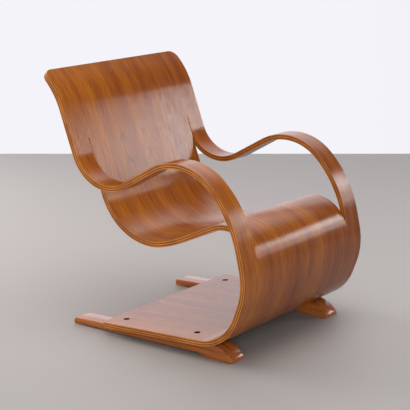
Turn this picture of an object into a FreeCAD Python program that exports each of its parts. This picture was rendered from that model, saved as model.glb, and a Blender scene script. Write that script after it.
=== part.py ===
import FreeCAD
import Part
import Sketcher
import math
import os
from FreeCAD import Placement, Rotation, Vector

# One-piece bent plywood lounge chair on two timber runners, in millimetres.
# +X is the chair's front, +Y the sitter's left, +Z up; the origin is on the floor,
# under the middle of the chair's outline.
# A single sheet of five plies is pressed to one curve: back, arms, front loop and base plate.
# Two saw cuts on each side free a middle panel, which is pressed lower to make the seat.

SIZES = {
    # The sheet
    "sheet_width": 600,  # width of the pressed sheet
    "ply": 3.2,  # thickness of one ply
    "arm_width": 67.5,  # width of each arm strip
    "saw_kerf": 2.5,  # width of the saw cut beside each arm strip
    "top_round": 28,  # radius of the rounded corners at the top of the back
    "plate_round": 10,  # radius of the rounded corners at the rear of the base plate
    # Corners of the mould line, which is the sitter's face of the back, the top face of the arms,
    # the outer face of the front loop and the underside of the base plate
    "top_end_x": -348,  # top edge of the back
    "top_end_z": 752,  # top edge of the back, height
    "top_bend_x": -292,  # corner where the back rolls rearward
    "top_bend_z": 694,  # corner where the back rolls rearward, height
    "top_bend_radius": 238,  # bend radius there
    "arm_dip_x": -178,  # corner where the back turns into the arms
    "arm_dip_z": 392,  # corner where the back turns into the arms, height
    "arm_dip_radius": 119,  # bend radius there
    "arm_crest_x": 157,  # corner over the crest of the arms
    "arm_crest_z": 581,  # corner over the crest of the arms, height
    "arm_crest_radius": 174,  # bend radius there
    "front_x": 323,  # corner at the front of arms and seat
    "front_z": 422,  # corner at the front of arms and seat, height
    "arm_front_flat": 1.9,  # straight stretch of the arms between crest and front bend
    "loop_x": 369,  # corner at the belly of the front loop
    "loop_z": 223,  # corner at the belly of the front loop, height
    "loop_flat": 2.5,  # straight stretch between the end of the saw cuts and the loop's bend
    "foot_x": 304,  # corner where the loop turns into the base plate
    "foot_z": 46,  # corner where the loop turns into the base plate, height
    "foot_radius": 145,  # bend radius there
    "plate_end_x": -142,  # rear edge of the base plate
    "plate_end_z": 23,  # rear edge of the base plate, height of its underside
    # The seat panel
    "slit_top_z": 558,  # height where the saw cuts start in the back
    "seat_back_z": 246,  # height of the corner between lower back and seat
    "seat_flat": 6.6,  # straight stretch between the bend there and the bend of the pan
    "seat_pan_x": 73,  # corner in the seat where it starts to rise
    "seat_pan_z": 305,  # corner in the seat where it starts to rise, height
    "seat_pan_radius": 475,  # bend radius there
    "seat_front_radius": 114,  # bend radius of the front roll of the seat
    "slit_flat": 1.2,  # straight stretch between that roll and the end of the saw cuts
    # The runners
    "runner_inset": 27,  # distance from the sheet's side edge to the runner
    "runner_width": 60,  # width of a runner
    "nose_x": 300,  # front of the runner
    "runner_long": 577,  # length of the runner
    "lip_rise": 9,  # height of the lower corner of the nose
    "lip_radius": 16,  # rounding there
    "shoulder_run": 36,  # from the front back to the upper corner of the nose
    "shoulder_radius": 76,  # rounding there
    "toe_pad_long": 84,  # length of the front floor contact
    "toe_pad_radius": 30,  # rounding at its rear
    "arch_front_run": 30,  # from there back to the front corner of the arched underside
    "arch_front_rise": 9,  # height of that corner
    "arch_front_radius": 30,  # rounding there
    "tip_rise": 19,  # height of the runner's rear end
    "tip_top_radius": 9,  # rounding of the rear end, top
    "tip_under_radius": 6,  # rounding of the rear end, underside
    "tip_pad_long": 15,  # length of the rear floor contact
    "arch_rear_run": 47,  # from there forward to the rear corner of the arched underside
    "arch_rear_rise": 3.6,  # height of that corner
    "arch_rear_radius": 150,  # rounding there
    "runner_edge": 1.2,  # chamfer of the runner's long edges
    # The screws
    "screw_rear": 45,  # distance of the rear screws from the plate's rear edge
    "screw_front": 303,  # distance of the front screws from the plate's rear edge
    "recess_width": 18,  # diameter of the recess that hides a screw head
    "recess_deep": 6.4,  # depth of that recess
    "head_width": 13,  # diameter of the screw head
    "head_rise": 3.6,  # height of the screw head
    "shank_width": 5,  # diameter of the screw
    "shank_long": 22,  # length of the screw under its head
    "drive_slot": 1.6,  # width of the driving slot
    "drive_deep": 1.5,  # depth of the driving slot
}

doc = FreeCAD.newDocument("lounge_chair")
sheet = doc.addObject("Spreadsheet::Sheet", "Sizes")
for row, (alias, value) in enumerate(SIZES.items(), start=1):
    sheet.set("A%d" % row, alias.replace("_", " "))
    sheet.set("B%d" % row, str(value))
    sheet.setAlias("B%d" % row, alias)
doc.recompute()

PLIES = ("sitter_face_ply", "sitter_cross_ply", "core_ply", "rear_cross_ply", "rear_face_ply")
SIDES = (("right", -1), ("left", 1))


def size(alias):
    """Value of one cell as a plain number."""
    return float(sheet.get(alias))


def corner(prefix):
    """Place of a named corner of the mould line, in the side view."""
    return Vector(size(prefix + "_x"), size(prefix + "_z"), 0)


def on_line(first, second, height):
    """Point of the line through two corners at the given height."""
    share = (height - first.y) / (second.y - first.y)
    return first + (second - first) * share


# Sketch helpers
# Every outline is a chain of guide lines through corners, with a tangent arc at each bend.

def bind(sketch, index, formula):
    """Tie one constraint to the sheet."""
    sketch.setExpression("Constraints[%d]" % index, formula)


def fix_point(sketch, geo, pos, alias_x, alias_z):
    """Tie one point to a named x and a named height; no name for the height means the floor."""
    point = sketch.getPoint(geo, pos)
    index = sketch.addConstraint(Sketcher.Constraint("DistanceX", -1, 1, geo, pos, point.x))
    bind(sketch, index, "Sizes." + alias_x)
    if alias_z is None:
        sketch.addConstraint(Sketcher.Constraint("PointOnObject", geo, pos, -1))
    else:
        fix_height(sketch, geo, pos, alias_z)


def fix_height(sketch, geo, pos, alias):
    """Tie one point to a named height."""
    height = sketch.getPoint(geo, pos).y
    index = sketch.addConstraint(Sketcher.Constraint("DistanceY", -1, 1, geo, pos, height))
    bind(sketch, index, "Sizes." + alias)


def guide_line(sketch, first, second):
    """Add one construction line and return its number."""
    return sketch.addGeometry(Part.LineSegment(first, second), True)


def turn_at(corners, number):
    """Angle by which a chain of corners turns at one of them."""
    here = corners[number]
    ahead = corners[(number + 1) % len(corners)]
    return (here - corners[number - 1]).getAngle(ahead - here)


def bend_reach(corners, number, radius):
    """Distance from a corner to both ends of its bend."""
    return radius * math.tan(turn_at(corners, number) / 2)


def bend_radius(corners, number, reach):
    """Radius of the bend that ends at a given distance from its corner."""
    return reach / math.tan(turn_at(corners, number) / 2)


def bend_at(corners, number, radius):
    """Where the bend at one corner begins and ends, and its centre; all the corner if sharp."""
    here = corners[number]
    if radius is None:
        return here, here, here
    back = (corners[number - 1] - here).normalize()
    ahead = (corners[(number + 1) % len(corners)] - here).normalize()
    reach = bend_reach(corners, number, radius)
    middle = here + (back + ahead).normalize() * math.hypot(radius, reach)
    return here + back * reach, here + ahead * reach, middle


def rounded_chain(sketch, corners, radii, closed=False):
    """Draw lines through the corners, with a tangent arc at each bend; None stays sharp.

    Returns the numbers of the guides, the lines and the arcs.
    """
    total = len(corners)
    legs = total if closed else total - 1
    guides = []
    for leg in range(legs):
        guides.append(guide_line(sketch, corners[leg], corners[(leg + 1) % total]))
    for leg in range(1, legs):
        sketch.addConstraint(Sketcher.Constraint("Coincident", guides[leg - 1], 2, guides[leg], 1))
    if closed:
        sketch.addConstraint(Sketcher.Constraint("Coincident", guides[-1], 2, guides[0], 1))
    bends = [bend_at(corners, number, radius) for number, radius in enumerate(radii)]
    lines = []
    arcs = [None] * total
    arc_ends = [None] * total
    for leg in range(legs):
        after = (leg + 1) % total
        lines.append(sketch.addGeometry(Part.LineSegment(bends[leg][1], bends[after][0])))
        if radii[after] is None:
            continue
        entry, leave, middle = bends[after]
        turns_left = (entry - middle).cross(leave - middle).z > 0
        low, high = (entry, leave) if turns_left else (leave, entry)
        from_angle = math.atan2(low.y - middle.y, low.x - middle.x)
        to_angle = from_angle + (low - middle).getAngle(high - middle)
        circle = Part.Circle(middle, Vector(0, 0, 1), radii[after])
        arcs[after] = sketch.addGeometry(Part.ArcOfCircle(circle, from_angle, to_angle))
        arc_ends[after] = (1, 2) if turns_left else (2, 1)
    for leg, line in enumerate(lines):
        for pos, number in ((1, leg), (2, (leg + 1) % total)):
            if arcs[number] is None:
                sketch.addConstraint(Sketcher.Constraint("Coincident", line, pos, guides[leg], pos))
                continue
            sketch.addConstraint(Sketcher.Constraint("PointOnObject", line, pos, guides[leg]))
            entry_pos, leave_pos = arc_ends[number]
            arc_pos = leave_pos if pos == 1 else entry_pos
            sketch.addConstraint(Sketcher.Constraint("Tangent", line, pos, arcs[number], arc_pos))
    return guides, lines, arcs


def fix_radius(sketch, arc, alias):
    """Tie the radius of one arc to the sheet."""
    index = sketch.addConstraint(Sketcher.Constraint("Radius", arc, size(alias)))
    bind(sketch, index, "Sizes." + alias)


def fix_length(sketch, line, alias):
    """Tie the length of one line to the sheet."""
    index = sketch.addConstraint(Sketcher.Constraint("Distance", line, size(alias)))
    bind(sketch, index, "Sizes." + alias)


def fix_gap(sketch, geo, pos, other, other_pos, value, formula):
    """Tie the distance between two points to a formula."""
    index = sketch.addConstraint(
        Sketcher.Constraint("Distance", geo, pos, other, other_pos, value))
    bind(sketch, index, formula)


def side_sketch(name):
    """A sketch in the chair's side view, for plain extrusions."""
    sketch = doc.addObject("Sketcher::SketchObject", name)
    sketch.Placement = Placement(Vector(0, 0, 0), Rotation(Vector(1, 0, 0), 90))
    return sketch


def extrude_across(name, profile, width):
    """Extrude a side view profile across the chair, evenly to both sides."""
    solid = doc.addObject("Part::Extrusion", name)
    solid.Base = profile
    solid.DirMode = "Custom"
    solid.Dir = Vector(0, 1, 0)
    solid.Symmetric = True
    solid.Solid = True
    solid.setExpression("LengthFwd", width)
    return solid


# The saw cuts end in the front leg just after the front roll of the seat
slit_top = on_line(corner("top_bend"), corner("arm_dip"), size("slit_top_z"))
seat_back = on_line(corner("top_bend"), corner("arm_dip"), size("seat_back_z"))
SEAT_CORNERS = ("slit_top", "seat_back", "seat_pan", "front", "slit_front")
PAN = SEAT_CORNERS.index("seat_pan")
ROLL = SEAT_CORNERS.index("front")
seat_corners = [slit_top, seat_back, corner("seat_pan"), corner("front"), corner("loop")]
SEAT_SLOPE = "atan2(Sizes.front_z - Sizes.seat_pan_z; Sizes.front_x - Sizes.seat_pan_x)"
FRONT_SLOPE = "atan2(Sizes.front_z - Sizes.loop_z; Sizes.loop_x - Sizes.front_x)"
SLIT_REACH = ("(Sizes.seat_front_radius * tan((%s + %s) / 2) + Sizes.slit_flat)"
              % (SEAT_SLOPE, FRONT_SLOPE))
slit_reach = bend_reach(seat_corners, ROLL, size("seat_front_radius")) + size("slit_flat")
front_down = (corner("loop") - corner("front")).normalize()
slit_front = corner("front") + front_down * slit_reach
seat_corners[-1] = slit_front

# Mould line of the arms, from the top of the back round the front loop to the base plate
# The front bend of the arms and the bend of the loop fill what the straight stretches leave.
ARM_CORNERS = ("top_end", "top_bend", "arm_dip", "arm_crest", "front", "loop", "foot", "plate_end")
arm_corners = [corner(prefix) for prefix in ARM_CORNERS]
arm_radii = [None, size("top_bend_radius"), size("arm_dip_radius"), size("arm_crest_radius"),
             None, None, size("foot_radius"), None]
CREST = ARM_CORNERS.index("arm_crest")
FRONT = ARM_CORNERS.index("front")
LOOP = ARM_CORNERS.index("loop")
front_reach = ((corner("front") - corner("arm_crest")).Length - size("arm_front_flat")
               - bend_reach(arm_corners, CREST, arm_radii[CREST]))
arm_radii[FRONT] = bend_radius(arm_corners, FRONT, front_reach)
loop_reach = (corner("loop") - slit_front).Length - size("loop_flat")
arm_radii[LOOP] = bend_radius(arm_corners, LOOP, loop_reach)
arm_line = side_sketch("arm_line")
arm_guides, arm_lines, arm_arcs = rounded_chain(arm_line, arm_corners, arm_radii)
for leg, prefix in enumerate(ARM_CORNERS[:-1]):
    fix_point(arm_line, arm_guides[leg], 1, prefix + "_x", prefix + "_z")
fix_point(arm_line, arm_guides[-1], 2, "plate_end_x", "plate_end_z")
for prefix in ("top_bend", "arm_dip", "arm_crest", "foot"):
    fix_radius(arm_line, arm_arcs[ARM_CORNERS.index(prefix)], prefix + "_radius")
fix_length(arm_line, arm_lines[CREST], "arm_front_flat")
fix_gap(arm_line, arm_guides[FRONT], 1, arm_lines[FRONT], 2, slit_reach + size("loop_flat"),
        SLIT_REACH + " + Sizes.loop_flat")

# Mould line of the seat panel, from one end of the saw cuts to the other
back_reach = ((corner("seat_pan") - seat_back).Length - size("seat_flat")
              - bend_reach(seat_corners, PAN, size("seat_pan_radius")))
seat_radii = [None, bend_radius(seat_corners, 1, back_reach), size("seat_pan_radius"),
              size("seat_front_radius"), None]
seat_line = side_sketch("seat_line")
seat_guides, seat_lines, seat_arcs = rounded_chain(seat_line, seat_corners, seat_radii)
fix_length(seat_line, seat_lines[1], "seat_flat")
fix_radius(seat_line, seat_arcs[PAN], "seat_pan_radius")
fix_radius(seat_line, seat_arcs[ROLL], "seat_front_radius")
fix_length(seat_line, seat_lines[ROLL], "slit_flat")


def add_shared_legs(sketch):
    """Add the back's leg and the front's leg of the mould line as bound construction lines."""
    legs = []
    for first, second in (("top_bend", "arm_dip"), ("front", "loop")):
        leg = guide_line(sketch, corner(first), corner(second))
        fix_point(sketch, leg, 1, first + "_x", first + "_z")
        fix_point(sketch, leg, 2, second + "_x", second + "_z")
        legs.append(leg)
    return legs


back_leg, front_leg = add_shared_legs(seat_line)
for geo, alias in ((seat_guides[0], "slit_top_z"), (seat_guides[1], "seat_back_z")):
    seat_line.addConstraint(Sketcher.Constraint("PointOnObject", geo, 1, back_leg))
    fix_height(seat_line, geo, 1, alias)
seat_line.addConstraint(Sketcher.Constraint("PointOnObject", seat_guides[ROLL], 2, front_leg))
fix_point(seat_line, seat_guides[PAN], 1, "seat_pan_x", "seat_pan_z")
fix_point(seat_line, seat_guides[ROLL], 1, "front_x", "front_z")

# The space between the arm strips: a slab bounded by two planes square to the sheet,
# through the two ends of the saw cuts, that reaches past the chair on both sides
SLAB_REACH = "2 * Sizes.top_end_z"
slab_line = side_sketch("slab_line")
back_leg, front_leg = add_shared_legs(slab_line)
slab_ends = []
for leg, middle in ((back_leg, slit_top), (front_leg, slit_front)):
    along = slab_line.getPoint(leg, 2) - slab_line.getPoint(leg, 1)
    across = Vector(-along.y, along.x, 0).normalize() * size("top_end_z")
    cut = slab_line.addGeometry(Part.LineSegment(middle - across, middle + across))
    slab_line.addConstraint(Sketcher.Constraint("Perpendicular", cut, leg))
    fix_gap(slab_line, cut, 1, cut, 2, 2 * size("top_end_z"), SLAB_REACH)
    mark = slab_line.addGeometry(Part.Point(middle), True)
    slab_line.addConstraint(Sketcher.Constraint("PointOnObject", mark, 1, leg))
    slab_line.addConstraint(Sketcher.Constraint("Symmetric", cut, 1, cut, 2, mark, 1))
    if leg == back_leg:
        fix_height(slab_line, mark, 1, "slit_top_z")
    else:
        fix_gap(slab_line, leg, 1, mark, 1, slit_reach, SLIT_REACH)
    slab_ends.append(cut)
for pos in (1, 2):
    side = slab_line.addGeometry(Part.LineSegment(slab_line.getPoint(slab_ends[0], pos),
                                                  slab_line.getPoint(slab_ends[1], pos)))
    slab_line.addConstraint(Sketcher.Constraint("Coincident", side, 1, slab_ends[0], pos))
    slab_line.addConstraint(Sketcher.Constraint("Coincident", side, 2, slab_ends[1], pos))
between_arms = extrude_across("between_arms", slab_line, "Sizes.sheet_width - 2 * Sizes.arm_width")
doc.recompute()

# Screw holes, square to the base plate: a recess for the head and a hole for the shank
TILT = "atan2(Sizes.foot_z - Sizes.plate_end_z; Sizes.foot_x - Sizes.plate_end_x)"
SEAT_HEIGHT = "(%d * Sizes.ply - Sizes.recess_deep)" % len(PLIES)
RUNNER_MIDDLE = "(Sizes.sheet_width / 2 - Sizes.runner_inset - Sizes.runner_width / 2)"
SCREWS = tuple((end, side, sign) for end in ("rear", "front") for side, sign in SIDES)


def place_on_plate(item, along, sign, height):
    """Stand an item square to the base plate, over a runner, at a height over its underside."""
    item.Placement = Placement(Vector(0, 0, 0), Rotation(Vector(0, -1, 0), 1))
    item.setExpression("Placement.Rotation.Angle", TILT)
    item.setExpression("Placement.Base.x",
                       "Sizes.plate_end_x + %s * cos(%s) - %s * sin(%s)" % (along, TILT, height, TILT))
    item.setExpression("Placement.Base.y", "%d * %s" % (sign, RUNNER_MIDDLE))
    item.setExpression("Placement.Base.z",
                       "Sizes.plate_end_z + %s * sin(%s) + %s * cos(%s)" % (along, TILT, height, TILT))


def drill(name, width, along, sign, height, depth):
    """A cylinder that stands for one drilled hole."""
    hole = doc.addObject("Part::Cylinder", name)
    hole.setExpression("Radius", width + " / 2")
    hole.setExpression("Height", depth)
    place_on_plate(hole, along, sign, height)
    return hole


drills = []
for end, side, sign in SCREWS:
    along = "Sizes.screw_" + end
    drills.append(drill("recess_%s_%s" % (end, side), "Sizes.recess_width", along, sign,
                        SEAT_HEIGHT, "(Sizes.recess_deep + Sizes.ply)"))
    drills.append(drill("bore_%s_%s" % (end, side), "Sizes.shank_width", along, sign,
                        "(%s - Sizes.shank_long)" % SEAT_HEIGHT, "(Sizes.shank_long + Sizes.ply)"))
screw_holes = doc.addObject("Part::MultiFuse", "screw_holes")
screw_holes.Shapes = drills
doc.recompute()


# Plies, each one pressed layer of the sheet, from the sitter's face to the rear face
def offset_line(name, line, steps):
    """The mould line moved into the sheet by a number of plies."""
    if steps == 0:
        return line
    moved = doc.addObject("Part::Offset2D", name)
    moved.Source = line
    moved.Mode = "Skin"
    moved.Join = "Arc"
    moved.Fill = False
    moved.setExpression("Value", "-%d * Sizes.ply" % steps)
    return moved


def ply_band(name, line, steps):
    """The section of one ply, between two neighbouring offsets of the mould line."""
    band = doc.addObject("Part::Offset2D", name)
    band.Source = offset_line(name + "_face", line, steps)
    band.Mode = "Skin"
    band.Join = "Arc"
    band.Fill = True
    band.setExpression("Value", "-Sizes.ply")
    return band


def end_corners(shape, prefix, alias):
    """The short edges at both side corners of one end of a ply, with their rounding."""
    end = Vector(size(prefix + "_x"), 0, size(prefix + "_z"))
    half = size("sheet_width") / 2
    reach = (len(PLIES) + 0.5) * size("ply")
    chosen = []
    for number, edge in enumerate(shape.Edges, start=1):
        first, last = edge.Vertexes[0].Point, edge.Vertexes[-1].Point
        at_side = min(abs(first.y), abs(last.y)) > half - 0.01 and first.y * last.y > 0
        middle = (first + last) * 0.5
        near = Vector(middle.x - end.x, 0, middle.z - end.z).Length < reach
        if at_side and near and edge.Length < 1.01 * size("ply"):
            chosen.append((number, size(alias), size(alias)))
    return chosen


parts = []
for steps, name in enumerate(PLIES):
    full = extrude_across(name + "_full", ply_band(name + "_arm_band", arm_line, steps),
                          "Sizes.sheet_width")
    strips = doc.addObject("Part::Cut", name + "_strips")
    strips.Base = full
    strips.Tool = between_arms
    panel = extrude_across(name + "_panel", ply_band(name + "_seat_band", seat_line, steps),
                           "Sizes.sheet_width - 2 * Sizes.arm_width - 2 * Sizes.saw_kerf")
    joined = doc.addObject("Part::MultiFuse", name + "_joined")
    joined.Shapes = [strips, panel]
    joined.Refine = True
    doc.recompute()
    rounded = doc.addObject("Part::Fillet", name + "_rounded")
    rounded.Base = joined
    rounded.Edges = (end_corners(joined.Shape, "top_end", "top_round")
                     + end_corners(joined.Shape, "plate_end", "plate_round"))
    ply = doc.addObject("Part::Cut", name)
    ply.Base = rounded
    ply.Tool = screw_holes
    ply.Label = name
    parts.append(ply)
doc.recompute()


# Runners, each sawn from one solid piece of timber
def origin_plane(body, role):
    """One of a body's own origin planes."""
    return [item for item in body.Origin.OriginFeatures if item.Role == role][0]


def body_sketch(body, name, role="XZ_Plane"):
    """A sketch on one of the body's own planes."""
    sketch = body.newObject("Sketcher::SketchObject", name)
    sketch.AttachmentSupport = [(origin_plane(body, role), "")]
    sketch.MapMode = "FlatFace"
    return sketch


plate_rise = (corner("foot") - corner("plate_end")).normalize()
shoulder_x = size("nose_x") - size("shoulder_run")
shoulder = corner("plate_end") + plate_rise * ((shoulder_x - size("plate_end_x")) / plate_rise.x)
tip_x = size("nose_x") - size("runner_long")
pad_x = tip_x + size("tip_pad_long")
toe_x = size("nose_x") - size("toe_pad_long")
RUNNER_CORNERS = {
    "nose_foot": (Vector(size("nose_x"), 0, 0), None),
    "lip": (Vector(size("nose_x"), size("lip_rise"), 0), "lip_radius"),
    "shoulder": (shoulder, "shoulder_radius"),
    "plate_end": (corner("plate_end"), None),
    "tip_top": (Vector(tip_x, size("tip_rise"), 0), "tip_top_radius"),
    "tip_foot": (Vector(tip_x, 0, 0), "tip_under_radius"),
    "tip_pad": (Vector(pad_x, 0, 0), None),
    "arch_rear": (Vector(pad_x + size("arch_rear_run"), size("arch_rear_rise"), 0),
                  "arch_rear_radius"),
    "arch_front": (Vector(toe_x - size("arch_front_run"), size("arch_front_rise"), 0),
                   "arch_front_radius"),
    "toe_pad": (Vector(toe_x, 0, 0), "toe_pad_radius"),
}


def make_runner(name, sign):
    """Pad the side view of a runner to its width, ease its long edges and drill it."""
    body = doc.addObject("PartDesign::Body", name + "_blank")
    outline = body_sketch(body, name + "_outline")
    corners = [place for place, radius in RUNNER_CORNERS.values()]
    radii = [radius and size(radius) for place, radius in RUNNER_CORNERS.values()]
    guides, lines, arcs = rounded_chain(outline, corners, radii, closed=True)
    at = dict(zip(RUNNER_CORNERS, guides))
    for arc, (place, radius) in zip(arcs, RUNNER_CORNERS.values()):
        if radius:
            fix_radius(outline, arc, radius)
    plate_leg = guide_line(outline, corner("plate_end"), corner("foot"))
    fix_point(outline, plate_leg, 1, "plate_end_x", "plate_end_z")
    fix_point(outline, plate_leg, 2, "foot_x", "foot_z")
    fix_point(outline, at["nose_foot"], 1, "nose_x", None)
    outline.addConstraint(Sketcher.Constraint("Vertical", at["nose_foot"]))
    fix_height(outline, at["lip"], 1, "lip_rise")
    outline.addConstraint(Sketcher.Constraint("PointOnObject", at["shoulder"], 1, plate_leg))
    fix_point(outline, at["plate_end"], 1, "plate_end_x", "plate_end_z")
    fix_height(outline, at["tip_top"], 1, "tip_rise")
    outline.addConstraint(Sketcher.Constraint("Vertical", at["tip_top"]))
    for grounded in ("tip_foot", "tip_pad", "toe_pad"):
        outline.addConstraint(Sketcher.Constraint("PointOnObject", at[grounded], 1, -1))
    fix_height(outline, at["arch_rear"], 1, "arch_rear_rise")
    fix_height(outline, at["arch_front"], 1, "arch_front_rise")
    for rear, front, alias in (("shoulder", "nose_foot", "shoulder_run"),
                               ("tip_foot", "nose_foot", "runner_long"),
                               ("tip_foot", "tip_pad", "tip_pad_long"),
                               ("tip_pad", "arch_rear", "arch_rear_run"),
                               ("arch_front", "toe_pad", "arch_front_run"),
                               ("toe_pad", "nose_foot", "toe_pad_long")):
        index = outline.addConstraint(
            Sketcher.Constraint("DistanceX", at[rear], 1, at[front], 1, size(alias)))
        bind(outline, index, "Sizes." + alias)
    pad = body.newObject("PartDesign::Pad", name + "_pad")
    pad.Profile = outline
    pad.Midplane = True
    pad.setExpression("Length", "Sizes.runner_width")
    doc.recompute()
    half = size("runner_width") / 2
    long_edges = []
    for number, edge in enumerate(pad.Shape.Edges, start=1):
        if min(abs(abs(vertex.Point.y) - half) for vertex in edge.Vertexes) < 0.01:
            if abs(edge.Vertexes[0].Point.y - edge.Vertexes[-1].Point.y) < 0.01:
                long_edges.append("Edge%d" % number)
    eased = body.newObject("PartDesign::Chamfer", name + "_eased")
    eased.Base = (pad, long_edges)
    eased.setExpression("Size", "Sizes.runner_edge")
    body.setExpression("Placement.Base.y", "%d * %s" % (sign, RUNNER_MIDDLE))
    runner = doc.addObject("Part::Cut", name)
    runner.Base = body
    runner.Tool = screw_holes
    runner.Label = name
    doc.recompute()
    return runner


for side, sign in SIDES:
    parts.append(make_runner("runner_" + side, sign))


# Screws, turned from the head down, with a slot across the head
def make_screw(name, along, sign):
    """Revolve half the side view of a screw and cut the slot; its origin is the head's seat."""
    body = doc.addObject("PartDesign::Body", name)
    half_view = body_sketch(body, name + "_half_view")
    shank = size("shank_width") / 2
    head = size("head_width") / 2
    depth = size("shank_long")
    outline = [Vector(0, -depth, 0), Vector(shank, -depth, 0), Vector(shank, 0, 0),
               Vector(head, 0, 0), Vector(head, size("head_rise"), 0),
               Vector(0, size("head_rise"), 0)]
    lines = [half_view.addGeometry(Part.LineSegment(first, second))
             for first, second in zip(outline, outline[1:] + outline[:1])]
    for first, second in zip(lines, lines[1:] + lines[:1]):
        half_view.addConstraint(Sketcher.Constraint("Coincident", first, 2, second, 1))
    end, side, seat, rim, top, axis = lines
    for line in (side, rim, axis):
        half_view.addConstraint(Sketcher.Constraint("Vertical", line))
    for line in (end, top):
        half_view.addConstraint(Sketcher.Constraint("Horizontal", line))
    half_view.addConstraint(Sketcher.Constraint("PointOnObject", axis, 1, -2))
    half_view.addConstraint(Sketcher.Constraint("PointOnObject", seat, 1, -1))
    half_view.addConstraint(Sketcher.Constraint("PointOnObject", seat, 2, -1))
    for kind, geo, value, formula in (
            ("DistanceY", axis, size("head_rise"), "Sizes.head_rise"),
            ("DistanceY", end, -depth, "-Sizes.shank_long"),
            ("DistanceX", side, shank, "Sizes.shank_width / 2"),
            ("DistanceX", rim, head, "Sizes.head_width / 2")):
        index = half_view.addConstraint(Sketcher.Constraint(kind, -1, 1, geo, 1, value))
        bind(half_view, index, formula)
    turned = body.newObject("PartDesign::Revolution", name + "_turned")
    turned.Profile = half_view
    turned.ReferenceAxis = (half_view, ["V_Axis"])
    turned.Angle = 360
    doc.recompute()
    slot_view = body_sketch(body, name + "_slot_view")
    half_slot = size("drive_slot") / 2
    floor = size("head_rise") - size("drive_deep")
    above = size("head_rise") + size("drive_deep")
    ring = [Vector(-half_slot, floor, 0), Vector(half_slot, floor, 0),
            Vector(half_slot, above, 0), Vector(-half_slot, above, 0)]
    sides = []
    for number in range(4):
        sides.append(slot_view.addGeometry(Part.LineSegment(ring[number], ring[(number + 1) % 4])))
    for number in range(4):
        slot_view.addConstraint(
            Sketcher.Constraint("Coincident", sides[number], 2, sides[(number + 1) % 4], 1))
    for number, kind in ((1, "Vertical"), (2, "Horizontal"), (3, "Vertical")):
        slot_view.addConstraint(Sketcher.Constraint(kind, sides[number]))
    slot_view.addConstraint(Sketcher.Constraint("Symmetric", sides[0], 1, sides[0], 2, -2))
    for kind, geo, pos, value, formula in (
            ("DistanceX", sides[0], 2, half_slot, "Sizes.drive_slot / 2"),
            ("DistanceY", sides[0], 1, floor, "Sizes.head_rise - Sizes.drive_deep"),
            ("DistanceY", sides[2], 1, above, "Sizes.head_rise + Sizes.drive_deep")):
        index = slot_view.addConstraint(Sketcher.Constraint(kind, -1, 1, geo, pos, value))
        bind(slot_view, index, formula)
    slot = body.newObject("PartDesign::Pocket", name + "_slot")
    slot.Profile = slot_view
    slot.Midplane = True
    slot.Type = "Length"
    slot.setExpression("Length", "Sizes.head_width + Sizes.drive_slot")
    body.Tip = slot
    body.Label = name
    place_on_plate(body, along, sign, SEAT_HEIGHT)
    doc.recompute()
    return body


screws = doc.addObject("Part::Compound", "screws")
screws.Links = [make_screw("screw_%s_%s" % (end, side), "Sizes.screw_" + end, sign)
                for end, side, sign in SCREWS]
screws.Label = "screws"
parts.append(screws)
doc.recompute()

# Checks, then one file for each piece
for item in doc.Objects:
    if "Invalid" in item.State or "Error" in item.State:
        raise RuntimeError("%s is not built: %s" % (item.Name, item.State))
for item in parts:
    shape = item.Shape
    wanted = len(SCREWS) if item is screws else 1
    if shape.isNull() or not shape.isValid() or len(shape.Solids) != wanted:
        raise RuntimeError("%s isn't made of sound solids" % item.Label)
    print("%-18s volume %10.1f faces %3d" % (item.Label, shape.Volume, len(shape.Faces)))

os.makedirs("parts", exist_ok=True)
for item in parts:
    item.Shape.exportStep(os.path.join("parts", item.Label + ".step"))
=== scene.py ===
import math

import bpy
import numpy as np
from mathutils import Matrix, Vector


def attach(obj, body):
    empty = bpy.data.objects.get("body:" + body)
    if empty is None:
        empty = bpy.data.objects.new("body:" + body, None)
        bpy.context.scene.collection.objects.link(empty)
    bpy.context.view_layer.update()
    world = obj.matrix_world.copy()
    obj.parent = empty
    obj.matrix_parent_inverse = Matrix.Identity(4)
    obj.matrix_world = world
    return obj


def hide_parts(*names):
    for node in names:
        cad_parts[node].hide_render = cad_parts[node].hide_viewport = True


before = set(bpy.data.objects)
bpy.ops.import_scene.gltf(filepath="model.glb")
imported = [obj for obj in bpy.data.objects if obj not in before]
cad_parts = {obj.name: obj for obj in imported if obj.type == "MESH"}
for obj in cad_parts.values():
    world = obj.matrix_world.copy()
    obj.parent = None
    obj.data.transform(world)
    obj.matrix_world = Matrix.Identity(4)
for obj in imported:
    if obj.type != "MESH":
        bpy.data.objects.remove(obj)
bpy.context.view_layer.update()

# Core ply. The middle layer of the pressed sheet, a pale birch veneer whose fibres run along
# the curve. It is glued between two cross plies and shows only as a light line in the edge.
CORE_PALE = "#D08A45"
CORE_BROWN = "#B06C30"
CORE_FIBRE = 0.0016  # the finest lines of real birch are about 0.3 mm wide, drawn coarser to show
FIBRES_WIDE, FIBRES_LONG = 2, 40  # one cell of the edge's noise, counted in fibres
EDGE_SHADE = 0.0625  # the slow light and dark patches along an edge


def linear(hex_colour):
    """sRGB hex to linear RGBA.

    Up to 0.04045 a value is divided by 12.92, and above that the result is
    ((value + 0.055) / 1.055) to the power 2.4.
    """
    c = np.array([int(hex_colour[i:i + 2], 16) for i in (1, 3, 5)]) / 255
    return (*np.where(c <= 0.04045, c / 12.92, ((c + 0.055) / 1.055) ** 2.4), 1.0)


def add_node(tree, kind, sockets=None, **settings):
    """Adds one node, sets its properties, and fills or links its sockets by name or number."""
    node = tree.nodes.new(kind)
    for name, value in settings.items():
        setattr(node, name, value)
    for name, value in (sockets or {}).items():
        if isinstance(value, bpy.types.NodeSocket):
            tree.links.new(value, node.inputs[name])
        else:
            node.inputs[name].default_value = value
    return node


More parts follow.
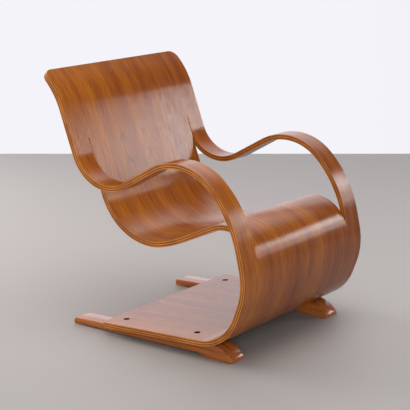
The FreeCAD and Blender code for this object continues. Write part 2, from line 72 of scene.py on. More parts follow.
def edge_of_veneer(name, pale, brown, fibre, coat):
    """Cut and sanded edge of a ply under thin lacquer: a streaked line with a soft, silky shine.

    Noise in cells two fibres wide across the sheet and forty long round its bends is added to a
    slow noise, and their sum mixes the two browns. The fine noise alone gives the bump.
    """
    material = bpy.data.materials.new(name)
    material.use_nodes = True
    tree = material.node_tree
    tree.nodes.clear()
    place = add_node(tree, "ShaderNodeTexCoord").outputs["Object"]
    cells_long, cells_wide = 1 / (FIBRES_LONG * fibre), 1 / (FIBRES_WIDE * fibre)
    cells = add_node(tree, "ShaderNodeVectorMath", {0: place, 1: (cells_long, cells_wide, cells_long)},
                     operation="MULTIPLY")
    fibres = add_node(tree, "ShaderNodeTexNoise",
                      {"Vector": cells.outputs[0], "Scale": 1.0, "Detail": 3.0})
    slow = add_node(tree, "ShaderNodeTexNoise", {"Vector": place, "Scale": 1 / EDGE_SHADE, "Detail": 2.0})
    both = add_node(tree, "ShaderNodeMath", {0: fibres.outputs[0], 1: slow.outputs[0]}, operation="ADD")
    share = add_node(tree, "ShaderNodeMapRange",
                     {"Value": both.outputs[0], "From Min": 0.75, "From Max": 1.25})
    colour = add_node(tree, "ShaderNodeMix",
                      {"Factor": share.outputs[0], "A": linear(pale), "B": linear(brown)},
                      data_type="RGBA")
    bump = add_node(tree, "ShaderNodeBump",
                    {"Height": fibres.outputs[0], "Strength": 0.25, "Distance": 0.0003})
    skin = add_node(tree, "ShaderNodeBsdfPrincipled",
                    {"Base Color": colour.outputs["Result"], "Roughness": 0.5, "Specular IOR Level": 0.0,
                     "Coat Weight": coat, "Coat Roughness": 0.25, "Normal": bump.outputs[0]})
    add_node(tree, "ShaderNodeOutputMaterial", {"Surface": skin.outputs[0]})
    return material


core_wood = edge_of_veneer("birch_core_edge", CORE_PALE, CORE_BROWN, fibre=CORE_FIBRE, coat=0.6)
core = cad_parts["core_ply"]
core.data.materials.clear()
core.data.materials.append(core_wood)

# Cross plies. Two veneers laid with their fibres across the sheet, one on each side of the core.
# The saw cuts them over the end grain, which drinks the stain, so they are the dark lines.
CROSS_LIGHT = "#8E4D1F"
CROSS_DARK = "#6E3814"
END_GRAIN = 0.0012  # real pores are about 0.1 mm wide, drawn coarser so that they show
cross_wood = edge_of_veneer("stained_end_grain", CROSS_LIGHT, CROSS_DARK, fibre=END_GRAIN, coat=0.5)
for name in ("sitter_cross_ply", "rear_cross_ply"):
    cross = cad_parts[name]
    cross.data.materials.clear()
    cross.data.materials.append(cross_wood)

# Sitter's face ply. The show veneer, glued on with its figure along the curve and pressed in the
# mould in one piece for back, arms, seat, front loop and base. Sandpaper eases its sharp rim.
SHEET_HALF = 0.300  # half the width of the sheet
PLY = 0.0032  # thickness of one veneer
ARM_INNER = 0.2325  # inner side of an arm, past the saw cut
PANEL_HALF = 0.230  # outer side of the seat panel, before the saw cut
TOP_ROUND = 0.028  # rounded corners at the top of the back
PLATE_ROUND = 0.010  # rounded corners at the rear end of the base plate
RIM_EASE = 0.0006  # what sanding takes off the rim
# The arms' side line, from the top of the back to the rear end of the base plate: the corners
# where its straight runs would meet, and the radius of the bend at each.
ARM_CORNERS = ((-0.348, 0.752), (-0.292, 0.694), (-0.178, 0.392), (0.157, 0.581),
               (0.323, 0.422), (0.369, 0.223), (0.304, 0.046), (-0.142, 0.023))
ARM_BENDS = (0.238, 0.119, 0.174, 0.33105, 0.20008, 0.145)
# The seat panel's side line, from one end of the saw cuts to the other.
SLIT_TOP = (-0.240662, 0.558)
SLIT_FRONT = (0.355012, 0.283513)
SEAT_CORNERS = (SLIT_TOP, (-0.122887, 0.246), (0.073, 0.305), (0.323, 0.422), SLIT_FRONT)
SEAT_BENDS = (0.17502, 0.475, 0.114)


def mould_line(corners, bends, turn_step=0.035, run_step=0.025):
    """Side view of a bent sheet as a table of distance, x, z and heading.

    A bend of radius r that turns by a starts and ends r * tan(a / 2) from its corner; along it
    the heading grows evenly and the point circles the bend's centre at r. A chord whose ends'
    headings differ by 2 * b counts b / sin(b) times its length, which is that of its arc.
    """
    corners = np.array(corners)
    legs = np.diff(corners, axis=0)
    headings = np.unwrap(np.arctan2(legs[:, 1], legs[:, 0]))
    turns = np.diff(headings)
    bends = np.array(bends)
    reach = bends * np.tan(np.abs(turns) / 2)
    ways = np.stack([np.cos(headings), np.sin(headings)], 1)
    starts = np.vstack([corners[:1], corners[1:-1] + ways[1:] * reach[:, None]])
    ends = np.vstack([corners[1:-1] - ways[:-1] * reach[:, None], corners[-1:]])
    points, angles = [], []
    for leg, (start, end) in enumerate(zip(starts, ends)):
        count = max(1, math.ceil(np.linalg.norm(end - start) / run_step))
        share = np.linspace(0, 1, count + 1)[:, None]
        points.append(start + (end - start) * share)
        angles.append(np.full(count + 1, headings[leg]))
        if leg < len(bends):
            count = math.ceil(abs(turns[leg]) / turn_step)
            swept = headings[leg] + turns[leg] * np.linspace(0, 1, count + 1)[1:-1]
            side = bends[leg] * np.sign(turns[leg])
            centre = end + side * np.array([-math.sin(headings[leg]), math.cos(headings[leg])])
            points.append(centre + side * np.stack([np.sin(swept), -np.cos(swept)], 1))
            angles.append(swept)
    points, angles = np.vstack(points), np.concatenate(angles)
    steps = np.hypot(*np.diff(points, axis=0).T)
    bow = np.abs(np.diff(angles)) / 2
    steps = steps * np.where(bow > 0, bow / np.sin(np.where(bow > 0, bow, 1)), 1)
    return np.concatenate([[0], np.cumsum(steps)]), points[:, 0], points[:, 1], angles


def distance_to(line, point):
    """Distance along the line to a point of it.

    The point lies in the stretch whose two ends are together hardly farther from it than they
    are from each other, and its distance is that of the stretch's start plus the gap to it.
    """
    run, x, z, _ = line
    gap = np.hypot(x - point[0], z - point[1])
    between = np.abs(gap[:-1] + gap[1:] - np.hypot(np.diff(x), np.diff(z)))
    k = int(np.argmin(between))
    return run[k] + gap[k]


def on_sheet(line, along, across, depth):
    """Points of the sheet: x and z from the table, moved by the depth square to the heading."""
    run, x, z, heading = line
    turn = np.interp(along, run, heading)
    return np.stack([np.interp(along, run, x) + depth * np.sin(turn), across,
                     np.interp(along, run, z) - depth * np.cos(turn)], -1)


def grid_quads(rows, columns, keep=None):
    """Quads of a grid of points, those of the kept cells only."""
    first = (np.arange(rows - 1)[:, None] * columns + np.arange(columns - 1)).ravel()
    quads = np.stack([first, first + columns, first + columns + 1, first + 1], 1)
    return quads if keep is None else quads[keep.ravel()]


def unique_sorted(values, gap):
    """Sorted values, without those closer than the gap to the one before."""
    values = np.sort(values)
    return values[np.concatenate([[True], np.diff(values) > gap])]


arm_line = mould_line(ARM_CORNERS, ARM_BENDS)
seat_line = mould_line(SEAT_CORNERS, SEAT_BENDS)
slit_start = distance_to(arm_line, SLIT_TOP)
slit_end = distance_to(arm_line, SLIT_FRONT)
sheet_end = arm_line[0][-1]
# The grid: column places of panel and arm, and the stretches whose rows follow round corners.
PANEL_COLUMNS = (0, 0.03, 0.06, 0.09, 0.12, 0.15, 0.18, 0.2, 0.215, 0.226)
ARM_COLUMN = 0.262
NARROWEST_COLUMN = 0.0007
SHORTEST_ROW = 0.0006
CORNER_STEPS = 6
TOP_BAND, TOP_ROWS = 2 * TOP_ROUND, 8
END_BAND = 2 * PLATE_ROUND
# The screws' recesses, each bored in the middle of a square that is left out of the grid.
RUNNER_MIDDLE = 0.243
RECESS_RADIUS = 0.009
RECESS_CELL = 0.0105  # half the side of the square, which then ends at the arm's inner side
RECESS_ALONG = (sheet_end - 0.045, sheet_end - 0.303)
RECESS_STEPS = 8
RECESS_RINGS = 3
KNOT_CLEARANCE = 0.001  # least gap between a square and the line's own points
recess_steps = np.linspace(-RECESS_CELL, RECESS_CELL, RECESS_STEPS + 1)


def sheet_columns():
    """Distances across the sheet, the same on both sides of its middle.

    The columns in the rounded corners stand at r * (1 - sin a) from the edge, for even steps of
    the angle a.
    """
    rise = np.sin(np.radians(np.linspace(0, 90, CORNER_STEPS + 1)))
    square = RUNNER_MIDDLE + recess_steps
    half = unique_sorted(np.concatenate([PANEL_COLUMNS, [PANEL_HALF, ARM_INNER, ARM_COLUMN],
                                         SHEET_HALF - TOP_ROUND * (1 - rise),
                                         SHEET_HALF - PLATE_ROUND * (1 - rise[::2]), square]),
                         NARROWEST_COLUMN)
    for exact in (PANEL_HALF, ARM_INNER, square[0], square[-1]):
        half[np.argmin(np.abs(half - exact))] = exact
    return np.concatenate([-half[:0:-1], half])


def sheet_rows():
    """Distances along the sheet: the line's own points, the saw cuts' ends, the rounded ends and
    the squares round the screws, where the line is straight and its own points are left out."""
    squares = [middle + recess_steps for middle in RECESS_ALONG]
    knots = arm_line[0]
    for middle in RECESS_ALONG:
        knots = knots[np.abs(knots - middle) > RECESS_CELL + KNOT_CLEARANCE]
    edges = [slit_start, slit_end, sheet_end - END_BAND]
    rows = unique_sorted(np.concatenate([knots, edges, np.linspace(0, TOP_BAND, TOP_ROWS), *squares]),
                         SHORTEST_ROW)
    for exact in (*edges, sheet_end, *np.ravel(squares)):
        rows[np.argmin(np.abs(rows - exact))] = exact
    return rows


def corner_cut(across, radius):
    """How far a rounded corner sets the sheet's end back: r - sqrt(r ** 2 - d ** 2), where d is
    the distance into the corner."""
    into = np.clip(np.abs(across) - SHEET_HALF + radius, 0, radius)
    return radius - np.sqrt(radius ** 2 - into ** 2)


def recess_ring():
    """A square's outline, and the points of the recess's circle in line with it and its middle."""
    side = np.linspace(-1, 1, RECESS_STEPS + 1)[:-1]
    one = np.ones_like(side)
    square = np.concatenate([np.stack([side, -one], 1), np.stack([one, side], 1),
                             np.stack([-side, one], 1), np.stack([-one, -side], 1)])
    square = np.vstack([square, square[:1]]) * RECESS_CELL
    return square, square / np.linalg.norm(square, axis=1)[:, None] * RECESS_RADIUS


def sheet_outline(recess):
    """The flat sheet as points and quads.

    Rows run across and columns along the sheet. Near both ends a row's distance is stretched
    so that the first and last rows follow the quarter circles of the rounded corners. The cells
    between the saw cuts are left out, and the seat panel's own grid closes them at both ends.
    With a recess, a square round each screw is left out and filled with rings that pass evenly
    from the square to the circle.
    """
    columns, rows = sheet_columns(), sheet_rows()
    along, across = np.meshgrid(rows, columns, indexing="ij")
    cut = corner_cut(across, TOP_ROUND)
    along = np.where(along < TOP_BAND, cut + along / TOP_BAND * (TOP_BAND - cut), along)
    cut = corner_cut(across, PLATE_ROUND)
    left = sheet_end - along
    along = np.where(left < END_BAND, sheet_end - cut - left / END_BAND * (END_BAND - cut), along)
    row_mid, column_mid = (rows[1:] + rows[:-1]) / 2, (columns[1:] + columns[:-1]) / 2
    keep = ~(((row_mid > slit_start) & (row_mid < slit_end))[:, None]
             & (np.abs(column_mid) < ARM_INNER)[None, :])
    if recess:
        for middle in RECESS_ALONG:
            keep &= ~((np.abs(row_mid - middle) < RECESS_CELL)[:, None]
                      & (np.abs(np.abs(column_mid) - RUNNER_MIDDLE) < RECESS_CELL)[None, :])
    flats = [(arm_line, along.ravel(), across.ravel(), along.ravel())]
    quads = [grid_quads(len(rows), len(columns), keep)]
    seat_run = seat_line[0]
    panel_columns = columns[np.abs(columns) <= PANEL_HALF]
    along, across = np.meshgrid(seat_run, panel_columns, indexing="ij")
    stretched = slit_start + along / seat_run[-1] * (slit_end - slit_start)
    flats.append((seat_line, along.ravel(), across.ravel(), stretched.ravel()))
    quads.append(grid_quads(len(seat_run), len(panel_columns)))
    if recess:
        square, circle = recess_ring()
        share = np.linspace(0, 1, RECESS_RINGS + 1)[:, None, None]
        rings = (1 - share) * square + share * circle
        for middle in RECESS_ALONG:
            for sign in (-1, 1):
                along, across = np.moveaxis(rings + np.array([middle, sign * RUNNER_MIDDLE]), -1, 0)
                flats.append((arm_line, along.ravel(), across.ravel(), along.ravel()))
                quads.append(grid_quads(RECESS_RINGS + 1, len(square))[:, ::-1])
    return flats, quads


WELDS_PER_METRE = 200000  # points within about 5 micrometres are merged
SHARP_ANGLE = math.radians(40)


def ply_shell(name, depths, outer, recess, materials):
    """One face ply as a closed solid between two depths of the sheet.

    Equal points are merged. Every quad is repeated on the other side the other way round, and
    every edge that only one quad has gets a wall. The rim of the outer side is marked for
    easing, and the UV map holds the flat sheet's distance along and across in metres. The first
    material goes on the outer side, the third on the recesses' walls and the second elsewhere.
    """
    flats, quads = sheet_outline(recess)
    upper = np.vstack([on_sheet(line, s, y, depths[0]) for line, s, y, _ in flats])
    lower = np.vstack([on_sheet(line, s, y, depths[1]) for line, s, y, _ in flats])
    flat = np.vstack([np.stack([u, y], 1) for _, _, y, u in flats])
    shift = np.cumsum([0] + [len(s) for _, s, _, _ in flats[:-1]])
    quads = np.vstack([q + k for q, k in zip(quads, shift)])
    _, first, same = np.unique(np.round(upper * WELDS_PER_METRE).astype(np.int64), axis=0,
                               return_index=True, return_inverse=True)
    quads = same.reshape(-1)[quads]
    used, quads = np.unique(quads, return_inverse=True)
    first, quads, total = first[used], quads.reshape(-1, 4), len(used)
    pair = np.array([2 * total, 1])
    edges = np.stack([quads, np.roll(quads, -1, axis=1)], -1).reshape(-1, 2)
    _, where, times = np.unique(np.sort(edges, axis=1) @ pair, return_index=True, return_counts=True)
    a, b = edges[where[times == 1]].T
    walls = np.stack([b, a, a + total, b + total], 1)
    faces = np.vstack([quads, quads[:, ::-1] + total, walls])
    mesh = bpy.data.meshes.new(name)
    mesh.from_pydata(np.vstack([upper[first], lower[first]]), [], faces.tolist())
    corner_of = np.empty(len(mesh.loops), np.int32)
    mesh.loops.foreach_get("vertex_index", corner_of)
    flat = flat[first]
    mesh.uv_layers.new(name="flat").data.foreach_set("uv", flat[corner_of % total].ravel())
    slots = np.repeat([outer, 1 - outer, 1], [len(quads), len(quads), len(walls)])
    in_recess = np.zeros(len(walls), bool)
    for middle in RECESS_ALONG:
        off_middle = np.hypot(flat[a, 0] - middle, np.abs(flat[a, 1]) - RUNNER_MIDDLE)
        in_recess |= off_middle < RECESS_CELL
    # Walls inside the recesses get the third material, whose dark brown is painted shade as well as stain.
    slots[-len(walls):][in_recess] = 2
    for material in materials:
        mesh.materials.append(material)
    mesh.polygons.foreach_set("material_index", slots.astype(np.int32))
    ends = np.empty(len(mesh.edges) * 2, np.int32)
    mesh.edges.foreach_get("vertices", ends)
    ends = np.sort(ends.reshape(-1, 2), axis=1)
    rim = np.sort(np.stack([a, b], 1) + outer * total, axis=1)
    weight = np.isin(ends @ pair, rim @ pair).astype(np.float32)
    mesh.attributes.new("bevel_weight_edge", "FLOAT", "EDGE").data.foreach_set("value", weight)
    mesh.polygons.foreach_set("use_smooth", np.ones(len(faces), bool))
    mesh.set_sharp_from_angle(angle=SHARP_ANGLE)
    piece = bpy.data.objects.new(name, mesh)
    bpy.context.collection.objects.link(piece)
    ease = piece.modifiers.new("eased_rim", "BEVEL")
    ease.width, ease.segments, ease.limit_method = RIM_EASE, 3, "WEIGHT"
    ease.use_clamp_overlap = False
    return piece


VENEER_AMBER, VENEER_BROWN, VENEER_DARK = "#B4681E", "#86401A", "#50220C"
# Width, length and noise detail of the figure. Real pores are about 0.2 mm wide, and the fibres
# stand for them, drawn coarser so that they show.
BANDS = (0.06, 0.9, 2.0)
STREAKS = (0.006, 0.20, 3.0)
FIBRES = (0.0022, 0.06, 2.0)
WANDER_CELLS = (1.6, 5.0, 0.0)  # waves per metre along and across
WANDER_SHIFT = (0.0, 0.04, 0.0)
HEART_SLOPE = 0.45  # growth of the brown share's noise towards the left, per metre
# The nested arches low on the back: where their tips lie, their scale, and the middle of the
# patch that they fill, in units of that scale.
ARCH_ALONG, ARCH_ACROSS = slit_start + 0.02, -0.088
ARCH_SCALE = (1 / 0.09, 1 / 0.022, 0.0)
ARCH_MIDDLE = (0.6, 0.0, 0.0)
ARCH_RINGS = 8.0
ARCH_WAVER = 0.5


def show_veneer(name, amber, brown, dark, coat_roughness):
    """Show veneer, stained and lacquered: a deep colour under a clear shine with soft edges.

    It is drawn on the flat sheet's own metres. Bands about 60 mm wide and a slow darkening
    towards the sheet's left side, where the leaf came nearer the heart of the log, mix amber and
    brown. Streaks of about 6 mm and fibres darken them. All are fifteen to thirty-five times as
    long as wide, and a slow wander of up to 20 mm either way keeps them from being straight. Low
    on the back a few nested arches, where the knife cut across the rings, follow
    x - y ** 4 = const, with dark rings by the sine of that.
    """
    material = bpy.data.materials.new(name)
    material.use_nodes = True
    tree = material.node_tree
    tree.nodes.clear()
    flat = add_node(tree, "ShaderNodeUVMap", uv_map="flat").outputs[0]
    waves = add_node(tree, "ShaderNodeVectorMath", {0: flat, 1: WANDER_CELLS}, operation="MULTIPLY")
    wander = add_node(tree, "ShaderNodeTexNoise", {"Vector": waves.outputs[0], "Scale": 1.0, "Detail": 1.0})
    drift = add_node(tree, "ShaderNodeVectorMath", {0: wander.outputs["Color"], 1: WANDER_SHIFT},
                     operation="MULTIPLY")
    grain = add_node(tree, "ShaderNodeVectorMath", {0: flat, 1: drift.outputs[0]}, operation="ADD")
    figure = []
    for width, length, detail in (BANDS, STREAKS, FIBRES):
        place = add_node(tree, "ShaderNodeVectorMath",
                         {0: grain.outputs[0], 1: (1 / length, 1 / width, 0.0)}, operation="MULTIPLY")
        noise = add_node(tree, "ShaderNodeTexNoise",
                         {"Vector": place.outputs[0], "Scale": 1.0, "Detail": detail})
        figure.append(noise.outputs[0])
    bands, streaks, fibres = figure
    across = add_node(tree, "ShaderNodeSeparateXYZ", {0: flat}).outputs["Y"]
    heart = add_node(tree, "ShaderNodeMath", {0: across, 1: HEART_SLOPE, 2: bands},
                     operation="MULTIPLY_ADD")
    band_share = add_node(tree, "ShaderNodeMapRange",
                          {"Value": heart.outputs[0], "From Min": 0.28, "From Max": 0.76})
    ground = add_node(tree, "ShaderNodeMix",
                      {"Factor": band_share.outputs[0], "A": linear(amber), "B": linear(brown)},
                      data_type="RGBA")
    streak_share = add_node(tree, "ShaderNodeMapRange",
                            {"Value": streaks, "From Min": 0.38, "From Max": 0.78, "To Max": 0.45})
    streaked = add_node(tree, "ShaderNodeMix",
                        {"Factor": streak_share.outputs[0], "A": ground.outputs["Result"],
                         "B": linear(dark)}, data_type="RGBA")
    fibre_share = add_node(tree, "ShaderNodeMapRange",
                           {"Value": fibres, "From Min": 0.42, "From Max": 0.75, "To Max": 0.65})
    grained = add_node(tree, "ShaderNodeMix",
                       {"Factor": fibre_share.outputs[0], "A": streaked.outputs["Result"],
                        "B": linear(dark)}, data_type="RGBA")
    from_tip = add_node(tree, "ShaderNodeVectorMath", {0: flat, 1: (ARCH_ALONG, ARCH_ACROSS, 0.0)},
                        operation="SUBTRACT")
    place = add_node(tree, "ShaderNodeVectorMath", {0: from_tip.outputs[0], 1: ARCH_SCALE},
                     operation="MULTIPLY")
    arch = add_node(tree, "ShaderNodeSeparateXYZ", {0: place.outputs[0]})
    square = add_node(tree, "ShaderNodeMath", {0: arch.outputs["Y"], 1: arch.outputs["Y"]},
                      operation="MULTIPLY")
    fourth = add_node(tree, "ShaderNodeMath", {0: square.outputs[0], 1: square.outputs[0]},
                      operation="MULTIPLY")
    field = add_node(tree, "ShaderNodeMath", {0: arch.outputs["X"], 1: fourth.outputs[0]},
                     operation="SUBTRACT")
    wavering = add_node(tree, "ShaderNodeMath", {0: streaks, 1: ARCH_WAVER, 2: field.outputs[0]},
                        operation="MULTIPLY_ADD")
    turns = add_node(tree, "ShaderNodeMath", {0: wavering.outputs[0], 1: ARCH_RINGS},
                     operation="MULTIPLY")
    wave = add_node(tree, "ShaderNodeMath", {0: turns.outputs[0]}, operation="SINE")
    rings = add_node(tree, "ShaderNodeMapRange",
                     {"Value": wave.outputs[0], "From Min": 0.3, "From Max": 1.0, "To Max": 0.5})
    reach = add_node(tree, "ShaderNodeVectorMath", {0: place.outputs[0], 1: ARCH_MIDDLE},
                     operation="DISTANCE")
    inside = add_node(tree, "ShaderNodeMapRange",
                      {"Value": reach.outputs["Value"], "From Min": 0.8, "From Max": 1.5,
                       "To Min": 1.0, "To Max": 0.0})
    amount = add_node(tree, "ShaderNodeMath", {0: rings.outputs[0], 1: inside.outputs[0]},
                      operation="MULTIPLY")
    colour = add_node(tree, "ShaderNodeMix",
                      {"Factor": amount.outputs[0], "A": grained.outputs["Result"],
                       "B": linear(dark)}, data_type="RGBA")
    bump = add_node(tree, "ShaderNodeBump", {"Height": fibres, "Strength": 0.6, "Distance": 0.0006})
    skin = add_node(tree, "ShaderNodeBsdfPrincipled",
                    {"Base Color": colour.outputs["Result"], "Roughness": 0.5,
                     "Specular IOR Level": 0.0, "Coat Weight": 0.8, "Coat IOR": 1.5,
                     "Coat Roughness": coat_roughness, "Coat Normal": bump.outputs[0],
                     "Normal": bump.outputs[0]})
    add_node(tree, "ShaderNodeOutputMaterial", {"Surface": skin.outputs[0]})
    return material


FACE_PALE = "#CC8440"
FACE_BROWN = "#A8642B"
show_wood = show_veneer("stained_lacquered_veneer", VENEER_AMBER, VENEER_BROWN, VENEER_DARK,
                        coat_roughness=0.16)
face_edge = edge_of_veneer("birch_face_edge", FACE_PALE, FACE_BROWN, fibre=CORE_FIBRE, coat=0.6)
sitter_face = ply_shell("sitter_face_veneer", (0.0, PLY), outer=0, recess=False,
                        materials=(show_wood, face_edge))
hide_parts("sitter_face_ply")
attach(sitter_face, "root")

# Rear face ply. The same veneer on the other side of the sheet, seen behind the back, under
# seat and arms, and as the top of the base plate, where four recesses are bored for the screws.
# The recesses' walls are dark brown partly from the stain that the bored end grain takes and partly as
# painted shade, the shadow that fills the deep bores.
BORE_SHADED_LIGHT = "#5A2E14"
BORE_SHADED_DARK = "#3A1B0A"
shaded_bore_edge = edge_of_veneer("stained_and_shaded_bore", BORE_SHADED_LIGHT, BORE_SHADED_DARK, fibre=END_GRAIN, coat=0.3)
rear_face = ply_shell("rear_face_veneer", (4 * PLY, 5 * PLY), outer=1, recess=True,
                      materials=(show_wood, face_edge, shaded_bore_edge))
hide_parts("rear_face_ply")
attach(rear_face, "root")

# Runners. Two skis sawn from solid timber, rounded at the nose and the tip and arched between
# them, stained and lacquered like the sheet, and screwed to it from above. Long edges are eased.
RUNNER_WIDTH = 0.060
RUNNER_EASE = 0.0016
# Its side view, from the middle of the front foot round the nose, the top, the tip and the arch:
# the corners where the straight runs would meet, and the radius of the bend at each.
RUNNER_CORNERS = ((0.255, 0.0), (0.300, 0.0), (0.300, 0.009), (0.264, 0.043935), (-0.142, 0.023),
                  (-0.277, 0.019), (-0.277, 0.0), (-0.262, 0.0), (-0.215, 0.0036), (0.186, 0.009),
                  (0.216, 0.0), (0.255, 0.0))
RUNNER_BENDS = (0.001, 0.016, 0.076, 0.05, 0.009, 0.006, 0.02, 0.150, 0.030, 0.030)
RUNNER_SHARP = math.radians(35)
TIMBER_PALE, TIMBER_BROWN, TIMBER_DARK = "#B4672A", "#8E4A1E", "#55280F"
BROAD_GRAIN = (0.012, 0.30)  # width and length of the growth rings' streaks
FINE_GRAIN = (0.0025, 0.07)  # and of the fibres, drawn coarser than real so that they show


def runner_wood(name, pale, brown, dark):
    """Solid timber, planed, stained and lacquered: a plain brown that shines as the sheet does.

    Two noises, stretched along the runner, make the grain. The broad one mixes the two browns,
    and the fine one darkens them and gives the bump.
    """
    material = bpy.data.materials.new(name)
    material.use_nodes = True
    tree = material.node_tree
    tree.nodes.clear()
    place = add_node(tree, "ShaderNodeTexCoord").outputs["Object"]
    figure = []
    for width, length in (BROAD_GRAIN, FINE_GRAIN):
        scaled = add_node(tree, "ShaderNodeVectorMath",
                          {0: place, 1: (1 / length, 1 / width, 1 / width)}, operation="MULTIPLY")
        noise = add_node(tree, "ShaderNodeTexNoise",
                         {"Vector": scaled.outputs[0], "Scale": 1.0, "Detail": 3.0})
        figure.append(noise.outputs[0])
    broad, fine = figure
    broad_share = add_node(tree, "ShaderNodeMapRange",
                           {"Value": broad, "From Min": 0.35, "From Max": 0.65})
    ground = add_node(tree, "ShaderNodeMix",
                      {"Factor": broad_share.outputs[0], "A": linear(pale), "B": linear(brown)},
                      data_type="RGBA")
    fine_share = add_node(tree, "ShaderNodeMapRange",
                          {"Value": fine, "From Min": 0.5, "From Max": 0.8, "To Max": 0.6})
    colour = add_node(tree, "ShaderNodeMix",
                      {"Factor": fine_share.outputs[0], "A": ground.outputs["Result"],
                       "B": linear(dark)}, data_type="RGBA")
    bump = add_node(tree, "ShaderNodeBump", {"Height": fine, "Strength": 0.15, "Distance": 0.0004})
    skin = add_node(tree, "ShaderNodeBsdfPrincipled",
                    {"Base Color": colour.outputs["Result"], "Roughness": 0.5,
                     "Specular IOR Level": 0.0, "Coat Weight": 1.0, "Coat IOR": 1.5,
                     "Coat Roughness": 0.15, "Normal": bump.outputs[0],
                     "Coat Normal": bump.outputs[0]})
    add_node(tree, "ShaderNodeOutputMaterial", {"Surface": skin.outputs[0]})
    return material


def runner_solid(name, middle, wood):
    """The side profile carried across; at angle f of the easing it is moved in by e * (1 - cos f)
    and lies e * (1 - sin f) inside the side face."""
    _, x, z, heading = mould_line(RUNNER_CORNERS, RUNNER_BENDS, turn_step=0.09, run_step=0.05)
    x, z, heading = x[:-1], z[:-1], heading[:-1]
    f = np.radians([90, 60, 30, 0])
    half = RUNNER_WIDTH / 2 - RUNNER_EASE * (1 - np.sin(f))
    inset = RUNNER_EASE * (1 - np.cos(f))
    half, inset = np.concatenate([-half, half[::-1]]), np.concatenate([inset, inset[::-1]])
    lines, count = len(half), len(x)
    points = np.stack([x - inset[:, None] * np.sin(heading),
                       np.broadcast_to(middle + half[:, None], (lines, count)),
                       z + inset[:, None] * np.cos(heading)], -1)
    ring = np.arange(count)
    following = np.roll(ring, -1)
    strip = np.stack([ring, count + ring, count + following, following], 1)
    quads = np.vstack([k * count + strip for k in range(lines - 1)])
    sides = [ring.tolist(), ((lines - 1) * count + ring[::-1]).tolist()]
    mesh = bpy.data.meshes.new(name)
    mesh.from_pydata(points.reshape(-1, 3), [], quads.tolist() + sides)
    mesh.polygons.foreach_set("use_smooth", np.ones(len(mesh.polygons), bool))
    mesh.set_sharp_from_angle(angle=RUNNER_SHARP)
    mesh.materials.append(wood)
    piece = bpy.data.objects.new(name, mesh)
    bpy.context.collection.objects.link(piece)
    return piece


ski_wood = runner_wood("stained_lacquered_timber", TIMBER_PALE, TIMBER_BROWN, TIMBER_DARK)
for side, sign in (("right", -1), ("left", 1)):
    runner = runner_solid("runner_timber_" + side, sign * RUNNER_MIDDLE, ski_wood)
    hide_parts("runner_" + side)
    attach(runner, "root")

# Screws. Four steel screws with slotted cheese heads, turned home at the bottom of the recesses.
# Old steel under a film of lacquer and dust: dark, with a dull shine.
STEEL_LIGHT = "#4A4440"
STEEL_DARK = "#2A2521"
DUST_SCALE = 900.0  # specks of about 1.1 mm
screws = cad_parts["screws"]
steel = bpy.data.materials.new("dulled_steel")
steel.use_nodes = True
tree = steel.node_tree
tree.nodes.clear()
place = add_node(tree, "ShaderNodeTexCoord").outputs["Object"]
dust = add_node(tree, "ShaderNodeTexNoise", {"Vector": place, "Scale": DUST_SCALE, "Detail": 3.0})
dust_share = add_node(tree, "ShaderNodeMapRange",
                      {"Value": dust.outputs[0], "From Min": 0.4, "From Max": 0.7})
metal = add_node(tree, "ShaderNodeMix",
                 {"Factor": dust_share.outputs[0], "A": linear(STEEL_LIGHT), "B": linear(STEEL_DARK)},
                 data_type="RGBA")
dull = add_node(tree, "ShaderNodeMapRange",
                {"Value": dust.outputs[0], "From Min": 0.3, "From Max": 0.7,
                 "To Min": 0.35, "To Max": 0.6})
skin = add_node(tree, "ShaderNodeBsdfPrincipled",
                {"Base Color": metal.outputs["Result"], "Metallic": 1.0, "Roughness": dull.outputs[0]})
add_node(tree, "ShaderNodeOutputMaterial", {"Surface": skin.outputs[0]})
screws.data.materials.clear()
screws.data.materials.append(steel)

# Floor. A plain pale studio floor in matt paint, which takes soft shadows and hardly shines. It
# ends in a straight line 2.5 m behind the chair, seen from the camera, where the wall begins.
FLOOR_PAINT = "#A29C98"
FLOOR_AHEAD = np.array([-0.6014, 0.7989])  # the camera's way over the floor
FLOOR_ACROSS = np.array([0.7989, 0.6014])
FLOOR_START, FLOOR_END, FLOOR_SIDE = -6.0, 2.5, 6.0
FLOOR_CORNERS = ((FLOOR_START, -FLOOR_SIDE), (FLOOR_START, FLOOR_SIDE),
                 (FLOOR_END, FLOOR_SIDE), (FLOOR_END, -FLOOR_SIDE))
floor_mesh = bpy.data.meshes.new("studio_floor")
flat = np.array([ahead * FLOOR_AHEAD + across * FLOOR_ACROSS for ahead, across in FLOOR_CORNERS])
floor_mesh.from_pydata(np.column_stack([flat, np.zeros(len(flat))]), [], [[3, 2, 1, 0]])
floor_paint = bpy.data.materials.new("plain_pale_floor")
floor_paint.use_nodes = True
tree = floor_paint.node_tree
tree.nodes.clear()
skin = add_node(tree, "ShaderNodeBsdfPrincipled",
                {"Base Color": linear(FLOOR_PAINT), "Roughness": 0.55, "Specular IOR Level": 0.3})
add_node(tree, "ShaderNodeOutputMaterial", {"Surface": skin.outputs[0]})
floor_mesh.materials.append(floor_paint)
floor = bpy.data.objects.new("studio_floor", floor_mesh)
bpy.context.collection.objects.link(floor)

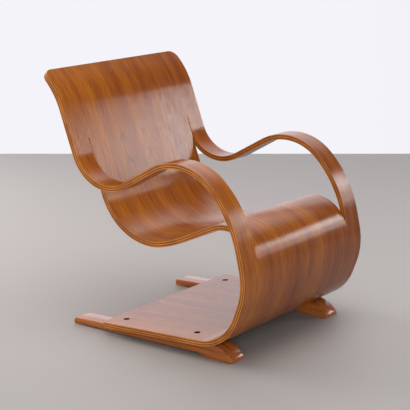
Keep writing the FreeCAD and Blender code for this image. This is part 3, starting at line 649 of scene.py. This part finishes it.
# Light. White walls, dimmer high up and on the window's side, and one brightly lit behind the
# chair's left. A wide soft box hangs overhead, two more that gloss doesn't mirror fill the
# shadows from the rear and the front, and a low window of three panes stands at the left front.
WALL_WHITE = "#F4F3F9"
DIM_FROM, DIM_TO = 0.27, 0.42  # sine of the elevation over which the walls dim
UPPER_WALL = 0.3
WINDOW_WAY = (0.62, 0.78, 0.0)
SIDE_FROM, SIDE_TO = 0.35, 0.8  # how nearly a direction points that way, as a cosine
WINDOW_SIDE_WALL = 0.35
LIT_WAY = (-0.49, 0.77, 0.41)
LIT_FROM, LIT_TO = 0.72, 0.96
LIT_WALL_LEVEL = 1.7
WALL_FOOT = 0.05  # sine of the elevation from which the lit wall has its full level
PANE_AIM = (0.0, 0.0, 0.45)
world = bpy.data.worlds.new("studio_walls")
bpy.context.scene.world = world
world.use_nodes = True
tree = world.node_tree
tree.nodes.clear()
way = add_node(tree, "ShaderNodeTexCoord").outputs["Generated"]
height = add_node(tree, "ShaderNodeSeparateXYZ", {0: way}).outputs["Z"]
by_height = add_node(tree, "ShaderNodeMapRange",
                     {"Value": height, "From Min": DIM_FROM, "From Max": DIM_TO,
                      "To Min": 1.0, "To Max": UPPER_WALL}, interpolation_type="SMOOTHSTEP")
toward = add_node(tree, "ShaderNodeVectorMath", {0: way, 1: WINDOW_WAY}, operation="DOT_PRODUCT")
by_side = add_node(tree, "ShaderNodeMapRange",
                   {"Value": toward.outputs["Value"], "From Min": SIDE_FROM, "From Max": SIDE_TO,
                    "To Min": 1.0, "To Max": WINDOW_SIDE_WALL}, interpolation_type="SMOOTHSTEP")
room = add_node(tree, "ShaderNodeMath", {0: by_height.outputs[0], 1: by_side.outputs[0]},
                operation="MULTIPLY")
nearness = add_node(tree, "ShaderNodeVectorMath", {0: way, 1: LIT_WAY}, operation="DOT_PRODUCT")
glow = add_node(tree, "ShaderNodeMapRange",
                {"Value": nearness.outputs["Value"], "From Min": LIT_FROM, "From Max": LIT_TO,
                 "To Min": 0.0, "To Max": LIT_WALL_LEVEL}, interpolation_type="SMOOTHSTEP")
above = add_node(tree, "ShaderNodeMapRange", {"Value": height, "From Min": 0.0, "From Max": WALL_FOOT})
lit_wall = add_node(tree, "ShaderNodeMath", {0: glow.outputs[0], 1: above.outputs[0]},
                    operation="MULTIPLY")
level = add_node(tree, "ShaderNodeMath", {0: room.outputs[0], 1: lit_wall.outputs[0]},
                 operation="MAXIMUM")
walls = add_node(tree, "ShaderNodeBackground",
                 {"Color": linear(WALL_WHITE), "Strength": level.outputs[0]})
add_node(tree, "ShaderNodeOutputWorld", {"Surface": walls.outputs[0]})
for name, place, aim, wide, tall, watts, mirrored in (
        ("overhead_box", (0.3, -0.2, 3.2), (0.0, 0.0, 0.3), 2.6, 2.6, 65.0, True),
        ("rear_box", (-3.0, -0.6, 1.0), (0.0, 0.0, 0.1), 2.0, 1.2, 85.0, False),
        ("front_box", (2.2, -2.6, 0.9), (0.2, 0.0, 0.25), 1.6, 1.2, 34.0, False),
        ("window", (1.565, 2.818, 1.36), PANE_AIM, 0.70, 0.52, 10.0, True),
        ("window_sill", (1.565, 2.818, 0.86), PANE_AIM, 0.70, 0.48, 3.8, True),
        ("window_shade", (1.981, 2.514, 1.12), PANE_AIM, 0.33, 1.0, 3.7, True)):
    lamp = bpy.data.lights.new(name, "AREA")
    lamp.shape, lamp.size, lamp.size_y, lamp.energy = "RECTANGLE", wide, tall, watts
    box = bpy.data.objects.new(name, lamp)
    box.location = place
    box.rotation_euler = (Vector(aim) - Vector(place)).to_track_quat("-Z", "Y").to_euler()
    box.visible_camera, box.visible_glossy = False, mirrored
    bpy.context.collection.objects.link(box)

# Camera. It stands 3.4 m from the front of the chair's right arm and 1.25 m over the floor, and
# looks down on the chair with a long lens, from the photograph's angle.
CAMERA_PLACE = (2.2436, -2.9749, 1.2532)
CAMERA_WAY = (-0.5845, 0.7764, -0.2358)
LENS = 114.13
SENSOR = 36
camera_data = bpy.data.cameras.new("camera")
camera_data.lens = LENS
camera_data.sensor_width = SENSOR
camera = bpy.data.objects.new("camera", camera_data)
camera.location = CAMERA_PLACE
camera.rotation_euler = Vector(CAMERA_WAY).to_track_quat("-Z", "Y").to_euler()
bpy.context.collection.objects.link(camera)
bpy.context.scene.camera = camera
bpy.context.scene.view_settings.view_transform = "Standard"
